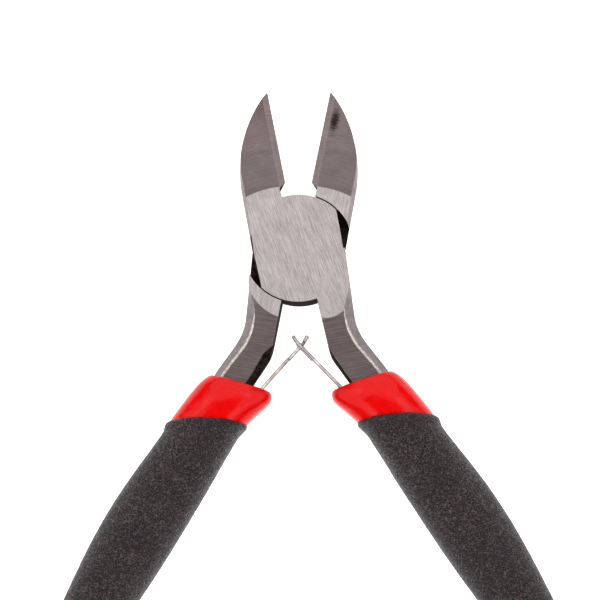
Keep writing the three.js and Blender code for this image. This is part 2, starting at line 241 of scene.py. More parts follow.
def combine(target, cutter, operation="DIFFERENCE"):
    """An exact boolean that keeps the cutter's materials on the faces it leaves."""
    modifier = target.modifiers.new("combine", "BOOLEAN")
    modifier.operation = operation
    modifier.solver = "EXACT"
    modifier.material_mode = "TRANSFER"
    modifier.object = cutter
    bake_modifiers(target)
    discard(cutter)


def bake_modifiers(obj):
    bpy.context.view_layer.update()
    graph = bpy.context.evaluated_depsgraph_get()
    mesh = bpy.data.meshes.new_from_object(obj.evaluated_get(graph), depsgraph=graph)
    old = obj.data
    obj.modifiers.clear()
    obj.data = mesh
    bpy.data.meshes.remove(old)


def smooth_at(rows, s, column):
    """Catmull-Rom interpolation in a list of (s, value, ...) rows."""
    s = min(max(s, rows[0][0]), rows[-1][0])
    i = 0
    while i < len(rows) - 2 and s > rows[i + 1][0]:
        i += 1
    (s0, v0), (s1, v1) = ((rows[k][0], rows[k][column]) for k in (i, i + 1))
    before = rows[i - 1] if i > 0 else rows[i]
    after = rows[i + 2] if i + 2 < len(rows) else rows[i + 1]
    slope0 = (v1 - before[column]) / (s1 - before[0])
    slope1 = (after[column] - v0) / (after[0] - s0)
    t = (s - s0) / (s1 - s0)
    h = s1 - s0
    return (
        (2 * t ** 3 - 3 * t ** 2 + 1) * v0
        + (t ** 3 - 2 * t ** 2 + t) * h * slope0
        + (3 * t ** 2 - 2 * t ** 3) * v1
        + (t ** 3 - t ** 2) * h * slope1
    )


def smoothstep(low, high, value):
    t = min(max((value - low) / (high - low), 0), 1)
    return t * t * (3 - 2 * t)


# ---------------------------------------------------------------- lever shapes
def head_outline():
    """Points of the jaw and joint plate with, for each, how far the side leans in at the faces."""
    tip_angle = math.atan2(JAW_REACH - JAW_BACK[1], -TIP_WIDTH - JAW_BACK[0])
    back = arc(JAW_BACK[:2], JAW_BACK[2], tip_angle, math.pi, math.radians(1))
    lean = [0.08 + 0.55 * smoothstep(19, 12, y) for _, y in back]
    chop = arc((0, 0), DISC_RADIUS, CHOP_ANGLE, CROTCH_ANGLE)
    top = arc((0, 0), DISC_RADIUS, SHOULDER_ANGLE, math.acos(-NOTCH[0] / DISC_RADIUS))
    points = [(-EDGE_CLEARANCE, JAW_HEEL), (-EDGE_CLEARANCE, JAW_REACH), *back]
    points += [(-8.02, 8), (-8.06, 4), (-WAIST[0], WAIST[1]), *chop]
    points += [CROTCH, (3, -6), (6, -3), (HIP[0] - 0.3, HIP[1] - 0.1), *top, (-NOTCH[2], NOTCH[1])]
    leans = [0, 0, *lean, 0.5, 0.4, 0.3, *[0] * len(chop), 0, 0, 0, 0, *[0] * len(top), 0]
    roles = [FORGED] * len(points)
    # The cutting edge's side and the walls round the disc take the oxide colour, darkened as painted shade.
    roles[0] = OXIDE_AND_SHADE
    for i, (x, y) in enumerate(points):
        if math.hypot(x, y) < DISC_RADIUS + 0.05 or (x > -1.5 and y < JAW_HEEL):
            roles[i] = OXIDE_AND_SHADE
    return points, leans, roles


def lever_head(materials):
    points, leans, roles = head_outline()
    count = len(points)
    inward = []
    for i in range(count):
        ahead = Vector(points[(i + 1) % count]) - Vector(points[i])
        behind = Vector(points[i]) - Vector(points[i - 1])
        normal = Vector((-ahead.y, ahead.x)).normalized() + Vector((-behind.y, behind.x)).normalized()
        inward.append(normal.normalized())
    rings = []
    for z, share in ((0, 1), (MIDDLE, 0), (THICKNESS, 1)):
        ring = []
        for point, lean, normal in zip(points, leans, inward):
            place = Vector(point) + normal * lean * share
            ring.append((place.x, place.y, z))
        rings.append(ring)
    bm = rings_to_bmesh(rings, BRUSHED, lambda r, c: roles[c])
    return make_object("head", bm, materials)


def grip_point(s, lateral):
    angle = GRIP_ANGLE + s / GRIP_BEND
    x = GRIP_START[0] + GRIP_BEND * (math.sin(angle) - math.sin(GRIP_ANGLE))
    y = GRIP_START[1] + GRIP_BEND * (math.cos(angle) - math.cos(GRIP_ANGLE))
    return Vector((x + lateral * math.sin(angle), y + lateral * math.cos(angle)))


def resample(points, count):
    """Points spaced evenly along a polyline."""
    points = [Vector(p) for p in points]
    lengths = [0]
    for a, b in zip(points, points[1:]):
        lengths.append(lengths[-1] + (b - a).length)
    out = []
    for k in range(count):
        want = lengths[-1] * k / (count - 1)
        i = 0
        while i < len(points) - 2 and want > lengths[i + 1]:
            i += 1
        share = (want - lengths[i]) / (lengths[i + 1] - lengths[i])
        out.append(points[i].lerp(points[i + 1], share))
    return out


def rounded_corner(corner, before, after, reach_in, reach_out, steps=8):
    """A quadratic curve round a corner, from reach_in before it to reach_out after it."""
    corner = Vector(corner)
    a = corner + (Vector(before) - corner).normalized() * reach_in
    b = corner + (Vector(after) - corner).normalized() * reach_out
    out = []
    for i in range(steps + 1):
        t = i / steps
        out.append(a * (1 - t) ** 2 + corner * 2 * t * (1 - t) + b * t * t)
    return out


def tang_sections():
    """Pairs of inner and outer points down the tang, with the share of the way to the grip's mouth."""
    mouth_in, mouth_out = grip_point(0, TANG_INNER[0]), grip_point(TANG_TOP, TANG_OUTER[0])
    top_in, top_out = (1.2, HIP[1] - 0.1), (HIP[0] - 0.01, HIP[1] - 0.1)
    bend_in = rounded_corner(KINK, top_in, mouth_in, 1.0, 1.2)
    bend_out = rounded_corner(ELBOW[:2], HIP, mouth_out, ELBOW[2], ELBOW[3])
    inner_upper = resample([top_in, *bend_in[:5]], 16)
    outer_upper = resample([top_out, *bend_out[:5]], 16)
    inner_lower = resample([*bend_in[4:], mouth_in], 14)
    outer_lower = resample([*bend_out[4:], mouth_out], 14)
    inside = [4 + (TANG_END - 4) * i / 10 for i in range(11)]
    inner_grip = [grip_point(s, TANG_INNER[1]) for s in inside]
    taper = [TANG_OUTER[1] + (TANG_OUTER[2] - TANG_OUTER[1]) * i / 10 for i in range(11)]
    outer_grip = [grip_point(s, w) for s, w in zip(inside, taper)]
    inner = inner_upper + inner_lower[1:] + inner_grip
    outer = outer_upper + outer_lower[1:] + outer_grip
    return inner, outer


def tang(materials, chamfers):
    """The handle blank as a loft; chamfers are the inner side's widths at the front and back."""
    inner, outer = tang_sections()
    rings = []
    for a, b in zip(inner, outer):
        across = (b - a).normalized()
        depth = -(a.y + b.y) / 2
        lean = FLANK[0] * smoothstep(FLANK[1], FLANK[2], depth)
        share = smoothstep(*CHAMFER_START, depth)
        edges = [
            (a + across * chamfers[0] * share, THICKNESS),
            (b - across * lean, THICKNESS),
            (b, MIDDLE),
            (b - across * lean, 0),
            (a + across * chamfers[1] * share, 0),
            (a, CHAMFER_DEPTH * share),
            (a, THICKNESS - CHAMFER_DEPTH * share),
        ]
        rings.append([(place.x, place.y, z) for place, z in edges])
    # The inner side and its chamfers take the oxide colour, darkened as painted shade.
    roles = (BRUSHED, FORGED, FORGED, BRUSHED, OXIDE_AND_SHADE, OXIDE_AND_SHADE, OXIDE_AND_SHADE)
    bm = rings_to_bmesh(rings, FORGED, lambda r, c: roles[c])
    bmesh.ops.recalc_face_normals(bm, faces=bm.faces)
    return make_object("tang", bm, materials)


def grind_cutter(grind, face, role, materials, side):
    """The cone left by grinding one face: above y = `side` on a jaw, below it on a tang."""
    x, y, radius, slope, end = grind
    fall = MIDDLE - slope * (end - radius)
    profile = [(radius, MIDDLE), (end, fall), (FAR, fall), (FAR, FAR), (radius, FAR)]
    cutter = turned(profile, 180, role, materials=materials, ring=True)
    flip = 1 if face == "front" else -1
    cutter.data.transform(Matrix.Translation((x, y, MIDDLE)) @ Matrix.Diagonal((1, 1, flip, 1)))
    if flip < 0:
        cutter.data.flip_normals()
    low, high = (side, FAR) if side >= 0 else (-FAR, side)
    left = -FAR if side >= 0 else GRIND_LEFT
    corners = [(left, low), (FAR, low), (FAR, high), (left, high)]
    keep = slab(corners, -FAR, FAR, role, materials=materials)
    combine(cutter, keep, "INTERSECT")
    return cutter


def ridge_cutter(grind, face, materials):
    """Cuts the strip coloured as a painted highlight between the tang's ground face and its outer flank,
    wider down the tang.
    """
    x, y, radius, slope, end = grind
    wide, start, full, last = RIDGE
    rings = []
    for a, b in zip(*tang_sections()):
        depth = -(a.y + b.y) / 2
        if not start < depth < last:
            continue
        across = (b - a).normalized()
        lean = FLANK[0] * smoothstep(FLANK[1], FLANK[2], depth)
        place, height = b - across * lean, THICKNESS
        for _ in range(4):
            reach = min(math.hypot(place.x - x, place.y - y), end)
            height = THICKNESS - slope * (reach - radius)
            place = b - across * lean * (height - MIDDLE) / MIDDLE
        half = wide * (0.06 + 0.94 * smoothstep(start, full, depth)) / 2
        ridge = Vector((place.x, place.y, height))
        outward = Vector((across.x, across.y, 0))
        down = (outward * lean - Vector((0, 0, MIDDLE))).normalized()
        away = outward + Vector((0, 0, 1.2))
        corners = [ridge - outward * half, ridge + down * half]
        corners += [corners[1] + away, corners[0] + away]
        if face == "back":
            corners = [Vector((c.x, c.y, THICKNESS - c.z)) for c in corners]
        rings.append(corners)
    # The strip takes the painted highlight colour.
    bm = rings_to_bmesh(rings, RIDGE_HIGHLIGHT, lambda r, c: RIDGE_HIGHLIGHT)
    bmesh.ops.recalc_face_normals(bm, faces=bm.faces)
    return make_object("cutter", bm, materials)


def slant_cutter(p, q, inset, rise, role, materials):
    """A wedge that cuts what lies left of a slanted plane through the line from p to q."""
    p, q = Vector(p), Vector(q)
    ahead = (q - p).normalized()
    left = Vector((-ahead.y, ahead.x, 0)).normalized()
    up = ahead.cross(left)
    reach = 3
    far_side = reach * abs(rise)
    section = [(0, 0), (far_side, 0), (far_side, reach * rise), (-reach * inset, reach * rise)]
    overrun = 1.2
    rings = []
    for along in (-overrun, (q - p).length + overrun):
        rings.append([p + ahead * along + left * u + up * v for u, v in section])
    bm = rings_to_bmesh(rings, role, lambda r, c: role)
    bmesh.ops.recalc_face_normals(bm, faces=bm.faces)
    return make_object("cutter", bm, materials)


def rivet_profile(grow):
    radius, head, depth, _ = RIVET
    return [
        (0, -grow),
        (head + grow, -grow),
        (radius + grow, depth),
        (radius + grow, THICKNESS - depth),
        (head + grow, THICKNESS + grow),
        (0, THICKNESS + grow),
    ]


def build_lever(name, plate_at, spread, materials):
    """One lever, shut and in its own frame, with all its cuts."""
    lever = lever_head(materials)
    front = plate_at == "front"
    handle = tang(materials, INNER_CHAMFERS if front else INNER_CHAMFERS[::-1])
    handle.data.transform(Matrix.Rotation(spread, 4, "Z"))
    tang_cuts = []
    for face in ("front", "back"):
        cutter = grind_cutter(TANG_GRIND[plate_at], face, TANG_GROUND, materials, TANG_GRIND[plate_at][1])
        tang_cuts += [cutter, ridge_cutter(TANG_GRIND[plate_at], face, materials)]
    combine(lever, handle, "UNION")
    for cutter in tang_cuts:
        cutter.data.transform(Matrix.Rotation(spread, 4, "Z"))
        combine(lever, cutter)
    for face in ("front", "back"):
        combine(lever, grind_cutter(JAW_GRIND, face, JAW_GROUND, materials, 0))
    slope, fall_from = JAW_GRIND[3], JAW_GRIND[1] + JAW_GRIND[2]
    tip = (-EDGE_CLEARANCE, JAW_REACH, THICKNESS - slope * (JAW_REACH - fall_from) - EDGE_DEPTH)
    heel = (-EDGE_CLEARANCE, JAW_HEEL, THICKNESS - slope * (JAW_HEEL - fall_from) - EDGE_DEPTH)
    combine(lever, slant_cutter(tip, heel, FRONT_BEVEL, EDGE_DEPTH, JAW_BEVEL, materials))
    combine(lever, slant_cutter(tip, heel, BACK_HOLLOW, -heel[2], JAW_GROUND, materials))
    plate_face = MIDDLE + PLATE_GAP / 2 if front else MIDDLE - PLATE_GAP / 2
    low, high = (-1, plate_face) if front else (plate_face, THICKNESS + 1)
    recess = [(0, low), (SHOULDER_RADIUS, low), (SHOULDER_RADIUS, high), (0, high)]
    # The recess floor and the bore walls take the oxide colour, darkened as painted shade.
    combine(lever, turned(recess, 240, OXIDE_AND_SHADE, materials=materials))
    combine(lever, turned(rivet_profile(RIVET[3]), 96, OXIDE_AND_SHADE, materials=materials))
    lever.name = lever.data.name = name
    return lever


# ---------------------------------------------------------------- edges, shading and placing
def clean(obj):
    """Joins points that booleans leave almost together, and faces that lie in one plane."""
    join = 0.012
    bm = bmesh.new()
    bm.from_mesh(obj.data)
    bmesh.ops.remove_doubles(bm, verts=bm.verts, dist=join)
    bmesh.ops.dissolve_degenerate(bm, edges=bm.edges, dist=join)
    delimit = {"MATERIAL", "SHARP"}
    angle = math.radians(0.3)
    bmesh.ops.dissolve_limit(bm, angle_limit=angle, verts=bm.verts, edges=bm.edges, delimit=delimit)
    bm.to_mesh(obj.data)
    bm.free()


def round_edges(obj, width, weight_of, segments=2, crease=math.radians(20), material=-1):
    """Bevels each edge sharper than `crease` by `width` times the weight that weight_of gives it."""
    bm = bmesh.new()
    bm.from_mesh(obj.data)
    layers = bm.edges.layers.float
    layer = layers.get("bevel_weight_edge") or layers.new("bevel_weight_edge")
    for edge in bm.edges:
        sharp = len(edge.link_faces) == 2 and edge.calc_face_angle(0) > crease
        edge[layer] = weight_of(edge) if sharp else 0
    bm.to_mesh(obj.data)
    bm.free()
    modifier = obj.modifiers.new("round", "BEVEL")
    modifier.limit_method = "WEIGHT"
    modifier.width = width
    modifier.segments = segments
    modifier.use_clamp_overlap = False
    modifier.loop_slide = False
    modifier.material = material
    bake_modifiers(obj)
    join_doubles(obj)


def join_doubles(obj):
    bm = bmesh.new()
    bm.from_mesh(obj.data)
    bmesh.ops.remove_doubles(bm, verts=bm.verts, dist=0.002)
    bm.to_mesh(obj.data)
    bm.free()


def shade(obj, crease=math.radians(35)):
    """Smooth shading, kept sharp at creases and where the material changes."""
    mesh = obj.data
    for polygon in mesh.polygons:
        polygon.use_smooth = True
    mesh.set_sharp_from_angle(angle=crease)
    bm = bmesh.new()
    bm.from_mesh(mesh)
    for edge in bm.edges:
        if len({face.material_index for face in edge.link_faces}) > 1 and edge.calc_face_angle(0) > 0.03:
            edge.smooth = False
    bm.to_mesh(mesh)
    bm.free()
    modifier = obj.modifiers.new("normals", "WEIGHTED_NORMAL")
    modifier.keep_sharp = True
    modifier.mode = "FACE_AREA"
    bake_modifiers(obj)


def placement(side, spread=True):
    """From a lever's shut frame, or a handle's own frame, to the part's frame in metres."""
    turn = OPENING
    if spread:
        turn += HANDLE_SPREAD if side == "right" else -HANDLE_SPREAD
    mirror = Matrix.Identity(4) if side == "right" else Matrix.Diagonal((-1, 1, 1, 1))
    return Matrix.Scale(MM, 4) @ mirror @ Matrix.Rotation(turn, 4, "Z")


def put(obj, matrix):
    obj.data.transform(matrix)
    if matrix.determinant() < 0:
        obj.data.flip_normals()
    obj.data.update()


def fine_weight(edge):
    """The fine rounding all over, left off the bore's rims so that the rivet's joint hardly shows."""
    return 0 if all(math.hypot(v.co.x, v.co.y) < RIVET[1] + 0.2 for v in edge.verts) else 1


# ---------------------------------------------------------------- springs, studs and rivet
def in_leaf_frame():
    """The leaf's frame: x from the stud to the tip, y away from the tang, z as the part's."""
    x = LEAF_MOUTH[0] + LEAF_SET_BACK * math.cos(LEAF_ANGLE)
    y = LEAF_MOUTH[1] - LEAF_SET_BACK * math.sin(LEAF_ANGLE)
    return Matrix.Translation((x, y, MIDDLE)) @ Matrix.Rotation(math.pi - LEAF_ANGLE, 4, "Z")


def stud_profile():
    """From the foot in the tang, past the collar and the leaf, to the head; corners are chamfered."""
    radius, collar, head, gap, bite = STUD
    small, large = 0.1, 0.15
    side = LEAF_THICKNESS / 2 + gap
    foot = -TANG_FACE - bite
    seat = small - TANG_FACE
    top = side + head
    return [
        (0, foot), (radius - large, foot), (radius, foot + large), (radius, seat),
        (collar - small, seat), (collar, 2 * small - TANG_FACE),
        (collar, -side - small), (collar - small, -side), (radius, -side), (radius, side),
        (collar - small, side), (collar, side + small), (collar, top - large),
        (collar - 2 * small, top), (0, top),
    ]


def stud(name, materials):
    """A round stud across the leaf, turned about the leaf's y axis."""
    obj = turned(stud_profile(), 40, 0, name, materials)
    obj.data.transform(in_leaf_frame() @ Matrix.Rotation(-math.pi / 2, 4, "X"))
    return obj


def leaf_outline():
    """Edge view of the strip: straight, rounded into its bent tip."""
    half = LEAF_THICKNESS / 2
    steps = 6
    middle = [(LEAF_TAIL, 0), (LEAF_BEND - LEAF_CURVE, 0)]
    for i in range(1, steps + 1):
        turn = LEAF_TIP_BEND * i / steps
        along = LEAF_BEND - LEAF_CURVE + 2 * LEAF_CURVE * i / steps
        middle.append((along, -math.sin(turn) * LEAF_CURVE * i / steps))
    end = middle[-1]
    rest = LEAF_TIP - LEAF_CURVE
    middle.append((end[0] + rest * math.cos(LEAF_TIP_BEND), end[1] - rest * math.sin(LEAF_TIP_BEND)))
    upper, lower = [], []
    for i, (x, y) in enumerate(middle):
        ahead = Vector(middle[min(i + 1, len(middle) - 1)]) - Vector(middle[max(i - 1, 0)])
        normal = Vector((-ahead.y, ahead.x)).normalized() * half
        upper.append((x + normal.x, y + normal.y))
        lower.append((x - normal.x, y - normal.y))
    return lower + upper[::-1]


def box_cutter(low, high):
    corners = [(low[0], low[1]), (high[0], low[1]), (high[0], high[1]), (low[0], high[1])]
    return slab(corners, low[2], high[2], 0)


def leaf_spring(name, tip, materials):
    half = LEAF_WIDTH / 2
    leaf = slab(leaf_outline(), -half, half, 0, name, materials)
    hole = turned([(0, -1), (STUD[0] + 0.2, -1), (STUD[0] + 0.2, 1), (0, 1)], 32, 0)
    hole.data.transform(Matrix.Rotation(-math.pi / 2, 4, "X"))
    combine(leaf, hole)
    if tip == "window":
        start, end, width = WINDOW
        combine(leaf, box_cutter((start, -1, -width / 2), (end, 1, width / 2)))
    else:
        start, end, width, head = TONGUE
        for side in (-1, 1):
            neck = sorted((side * width / 2, side * (half + 1)))
            ears = sorted((side * head / 2, side * (half + 1)))
            combine(leaf, box_cutter((start, -1, neck[0]), (end, 1, neck[1])))
            combine(leaf, box_cutter((end - 0.01, -1, ears[0]), (LEAF_BEND + 2, 1, ears[1])))
    clean(leaf)
    # The rounded edges take the second material, a painted shade along the strip's sides.
    round_edges(leaf, LEAF_EDGE, lambda edge: 1, segments=3, crease=math.radians(30), material=1)
    subdivide_long(leaf, 0.8)
    leaf.data.transform(in_leaf_frame())
    return leaf


def subdivide_long(obj, length):
    """Cuts a strip crossways along x so that it can flex."""
    bm = bmesh.new()
    bm.from_mesh(obj.data)
    xs = [v.co.x for v in bm.verts]
    count = int((max(xs) - min(xs)) / length)
    for i in range(1, count):
        place = (min(xs) + (max(xs) - min(xs)) * i / count, 0, 0)
        whole = list(bm.verts) + list(bm.edges) + list(bm.faces)
        bmesh.ops.bisect_plane(bm, geom=whole, plane_co=place, plane_no=(1, 0, 0), dist=1e-4)
    bm.to_mesh(obj.data)
    bm.free()


def pivot_rivet(materials):
    radius, head, depth, _ = RIVET
    chamfer = RIVET_CHAMFER
    profile = [(0, 0), (head - chamfer, 0), (head, chamfer), (radius, depth)]
    profile += [(radius, THICKNESS - depth), (head, THICKNESS - chamfer)]
    profile += [(head - chamfer, THICKNESS), (0, THICKNESS)]
    rivet = turned(profile, 96, 0, "rivet", materials)
    shade(rivet)
    return rivet


# ---------------------------------------------------------------- sleeves and grips
def boxy(turn):
    """A rounded-square section, as shares of the half width and half thickness."""
    c, s = math.cos(turn), math.sin(turn)
    return (
        math.copysign(abs(c) ** SQUARENESS, c),
        math.copysign(abs(s) ** SQUARENESS, s),
    )


def grip_ring(s, share, sizes, columns, grow=0):
    """One cross-section at s along the grip; `share` scales it and `grow` widens it."""
    wide = share * (smooth_at(sizes, s, 1) + grow)
    thick = share * (smooth_at(sizes, s, 2) + grow)
    lean = smooth_at(SECTION_LEAN, s, 1)
    trim = smooth_at(INNER_TRIM, s, 1)
    sag = smooth_at(MOUTH_SAG, s, 1)
    ring = []
    for i in range(columns):
        across, deep = boxy(2 * math.pi * i / columns)
        along = s + lean * across * wide + sag * share * across ** 2
        place = grip_point(along, across * wide - trim * share * min(across, 0))
        ring.append(Vector((place.x, place.y, MIDDLE - deep * thick)))
    return ring


def spaced(start, end, step):
    count = max(1, round((end - start) / step))
    return [start + (end - start) * i / count for i in range(count)]


def sleeve_profile():
    """From the rounded mouth to the closed end; the neck under the outer grip is thinner."""
    turns = spaced(0, math.pi / 2, 0.13)
    rounding = [(NECK + (1 - NECK) * math.sin(t), LIP * (1 - math.cos(t))) for t in turns]
    visible = [(1, s) for s in spaced(LIP, GRIP_MOUTH, 0.35)]
    neck = [(NECK, s) for s in spaced(GRIP_MOUTH + 0.6, 60, 2.5)]
    return rounding + visible + [(1, GRIP_MOUTH)] + neck + [(0.8, 60.5), (0.6, 62.2), (0.2, 62.9)]


def tang_hole():
    """Outline of the sleeve's hole for the tang, from before the mouth to the tang's end and back."""
    before, start, half_way, end = -4, 4, TANG_END / 2, TANG_END + 0.1
    mean = (TANG_OUTER[1] + TANG_OUTER[2]) / 2
    inner = [(before, TANG_INNER[0]), (0, TANG_INNER[0])]
    inner += [(s, TANG_INNER[1]) for s in (start, half_way, end)]
    outer = [(end, TANG_OUTER[2]), (half_way, mean), (start, TANG_OUTER[1])]
    outer += [(TANG_TOP, TANG_OUTER[0]), (before, TANG_OUTER[0])]
    sides = [(s, lateral - SLEEVE_FIT) for s, lateral in inner]
    sides += [(s, lateral + SLEEVE_FIT) for s, lateral in outer]
    return [tuple(grip_point(s, lateral)) for s, lateral in sides]


def inner_sleeve(name, materials):
    columns = 144
    rings = [grip_ring(s, share, SLEEVE_SIZES, columns) for share, s in sleeve_profile()]
    bm = rings_to_bmesh(rings, 0)
    bmesh.ops.recalc_face_normals(bm, faces=bm.faces)
    sleeve = make_object(name, bm, materials)
    half = TANG_HALF + SLEEVE_FIT
    combine(sleeve, slab(tang_hole(), MIDDLE - half, MIDDLE + half, 0))
    left, low, deep = POCKET
    for right, high in (SLOT_END, ROOM_END):
        pocket = box_cutter((left, low, -deep), (right, high, deep))
        pocket.data.transform(in_leaf_frame())
        combine(sleeve, pocket)
    join_doubles(sleeve)
    return sleeve


def outer_grip(name, materials, seed):
    """A shell with a rolled mouth and a closed rounded butt, its skin uneven all over."""
    columns = 128
    clearance = 0.1
    rings = [grip_ring(62.6, 0.6, SLEEVE_SIZES, columns, clearance)]
    for s in spaced(GRIP_MOUTH + 0.9, 60, 2.5)[::-1]:
        rings.append(grip_ring(s, NECK, SLEEVE_SIZES, columns, clearance))
    rings.append(grip_ring(GRIP_MOUTH + 0.25, 1, SLEEVE_SIZES, columns, 0.04))
    for t in spaced(0.3, math.pi / 2, 0.2):
        share = 1 - 0.07 * (1 - math.sin(t))
        rings.append(grip_ring(GRIP_MOUTH + ROLL * (1 - math.cos(t)) - 0.02, share, GRIP_SIZES, columns))
    first_outer = len(rings)
    end = GRIP_SIZES[-1][0]
    for s in spaced(GRIP_MOUTH + ROLL, end - BUTT, SKIN_PITCH):
        flare = 0.03 * smoothstep(GRIP_MOUTH + 2.6, GRIP_MOUTH + 0.9, s)
        rings.append(grip_ring(s, 1 + flare - 0.012, GRIP_SIZES, columns))
    for t in spaced(0, math.pi / 2, 0.075):
        rings.append(grip_ring(end - BUTT + BUTT * math.sin(t), math.cos(t) ** 0.8, GRIP_SIZES, columns))
    for row in range(first_outer, len(rings)):
        middle = sum(rings[row], Vector()) / columns
        for i, point in enumerate(rings[row]):
            place = point + Vector((0, 0, seed))
            lumps = 0.035 * noise.noise(place * 0.9) + 0.022 * noise.noise(place * 2.1)
            rings[row][i] = point + (point - middle).normalized() * lumps
    bm = rings_to_bmesh(rings, 0)
    bmesh.ops.recalc_face_normals(bm, faces=bm.faces)
    grip = make_object(name, bm, materials)
    for polygon in grip.data.polygons:
        polygon.use_smooth = True
    return grip


# ---------------------------------------------------------------- materials
class Graph:
    """A short way to write a material's nodes: each method returns an output socket."""

    def __init__(self, name):
        self.material = bpy.data.materials.new(name)
        self.material.use_nodes = True
        self.tree = self.material.node_tree
        self.tree.nodes.clear()
        self.shader = self.tree.nodes.new("ShaderNodeBsdfPrincipled")
        output = self.tree.nodes.new("ShaderNodeOutputMaterial")
        self.tree.links.new(self.shader.outputs["BSDF"], output.inputs["Surface"])

    def node(self, kind, inputs=(), output=0, **settings):
        node = self.tree.nodes.new("ShaderNode" + kind)
        for key, value in settings.items():
            setattr(node, key, value)
        for key, value in dict(inputs).items():
            if isinstance(value, bpy.types.NodeSocket):
                self.tree.links.new(value, node.inputs[key])
            else:
                node.inputs[key].default_value = value
        return node.outputs[output]

    def place(self, side="right", turn=0.0):
        """Object coordinates in millimetres in a lever's own frame, then turned."""
        source = self.node("TexCoord", output="Object")
        flip = 1 if side == "right" else -1
        scale = (flip / MM, 1 / MM, 1 / MM)
        rotation = (0, 0, turn - OPENING)
        return self.node("Mapping", {"Vector": source, "Scale": scale, "Rotation": rotation})

    def noise(self, vector, scale, detail=3.0, roughness=0.5):
        inputs = {"Vector": vector, "Scale": scale, "Detail": detail, "Roughness": roughness}
        return self.node("TexNoise", inputs)

    def math(self, operation, a, b=0.5):
        return self.node("Math", {0: a, 1: b}, operation=operation)

    def span(self, value, low, high, to_low=0.0, to_high=1.0):
        inputs = {"Value": value, "From Min": low, "From Max": high, "To Min": to_low, "To Max": to_high}
        return self.node("MapRange", inputs)

    def mix(self, share, a, b):
        node = self.tree.nodes.new("ShaderNodeMix")
        node.data_type = "RGBA"
        for key, value in ((0, share), (6, a), (7, b)):
            if isinstance(value, bpy.types.NodeSocket):
                self.tree.links.new(value, node.inputs[key])
            else:
                node.inputs[key].default_value = value if key == 0 else (*value, 1)
        return node.outputs[2]

    def bump(self, height, distance, under=None):
        inputs = {"Height": height, "Distance": distance * MM, "Strength": 1.0}
        if under is not None:
            inputs["Normal"] = under
        return self.node("Bump", inputs)

    def set(self, **inputs):
        for key, value in inputs.items():
            socket = self.shader.inputs[key.replace("_", " ")]
            if isinstance(value, bpy.types.NodeSocket):
                self.tree.links.new(value, socket)
            else:
                socket.default_value = value
        return self.material


def grey(value, warmth=(1, 0.96, 0.94)):
    return tuple(value * share for share in warmth)


def streaked(name, side, light, dark, stretch, turn=0.0, roughness=(0.3, 0.46), depth=0.012, round_at=None):
    """Ground steel: long fine streaks. With round_at the streaks run round that point."""
    g = Graph(name)
    vector = g.place(side, turn)
    if round_at:
        offset = g.node("VectorMath", {0: vector, 1: (-round_at[0], -round_at[1], 0)}, operation="ADD")
        flat = g.node("VectorMath", {0: offset, 1: (1, 1, 0)}, operation="MULTIPLY")
        radius = g.node("VectorMath", {0: flat}, output="Value", operation="LENGTH")
        across = g.node("SeparateXYZ", {0: offset}, output=0)
        height = g.node("SeparateXYZ", {0: offset}, output=2)
        vector = g.node("CombineXYZ", {0: radius, 1: across, 2: height})
    wide = g.node("Mapping", {"Vector": vector, "Scale": stretch})
    fine = g.node("Mapping", {"Vector": vector, "Scale": tuple(3.1 * v for v in stretch)})
    broad = g.noise(wide, 1.0, 5.0, 0.65)
    thin = g.noise(fine, 1.0, 4.0, 0.6)
    cloud = g.noise(vector, 0.35, 3.0, 0.6)
    both = g.math("ADD", g.math("MULTIPLY", broad, 0.55), g.math("MULTIPLY", thin, 0.45))
    share = g.span(both, 0.36, 0.64)
    tint = g.span(cloud, 0.3, 0.7, 0.88, 1.05)
    colour = g.mix(share, dark, light)
    colour = g.node("VectorMath", {0: colour, 1: tint}, operation="MULTIPLY")
    normal = g.bump(both, depth)
    rough = g.span(both, 0.3, 0.7, roughness[1], roughness[0])
    return g, colour, rough, normal


def brushed_joint(side):
    g, colour, rough, normal = streaked(
        "brushed_joint_" + side, side, grey(0.53, (1, 0.9, 0.89)), grey(0.2, (1, 0.87, 0.85)), (10, 0.3, 1),
        turn=math.radians(-9 if side == "right" else -3), roughness=(0.4, 0.58), depth=0.03,
    )
    return g.set(Base_Color=colour, Metallic=1.0, Roughness=rough, Normal=normal)


def ground_jaw(side):
    """The ground jaw; one has a brownish tip, the other a dark smudge beside its bevel."""
    centre = JAW_GRIND[:2]
    g, colour, rough, normal = streaked(
        "ground_jaw_" + side, side, grey(0.16, (1, 0.8, 0.8)), grey(0.1, (1, 0.78, 0.77)), (12, 0.2, 1),
        roughness=(0.34, 0.5), depth=0.012, round_at=centre,
    )
    vector = g.place(side)
    if side == "right":
        up = g.node("SeparateXYZ", {0: vector}, output=1)
        ragged = g.math("ADD", up, g.math("MULTIPLY", g.noise(vector, 0.9), 3.0))
        share = g.span(ragged, 24.5, 29.5, 0.0, 0.75)
        colour = g.mix(share, colour, (0.075, 0.05, 0.042))
    else:
        offset = g.node("VectorMath", {0: vector, 1: (1.9, -23.7, -5.2)}, operation="ADD")
        flat = g.node("VectorMath", {0: offset, 1: (1.0, 0.36, 0.4)}, operation="MULTIPLY")
        away = g.node("VectorMath", {0: flat}, output="Value", operation="LENGTH")
        bars = g.noise(g.node("Mapping", {"Vector": vector, "Scale": (0.6, 5.0, 1)}), 1.0, 3.0, 0.6)
        ragged = g.math("ADD", away, g.math("MULTIPLY", bars, 1.6))
        share = g.span(ragged, 1.15, 1.75, 0.9, 0.0)
        colour = g.mix(share, colour, (0.008, 0.006, 0.006))
    return g.set(Base_Color=colour, Metallic=1.0, Roughness=rough, Normal=normal)


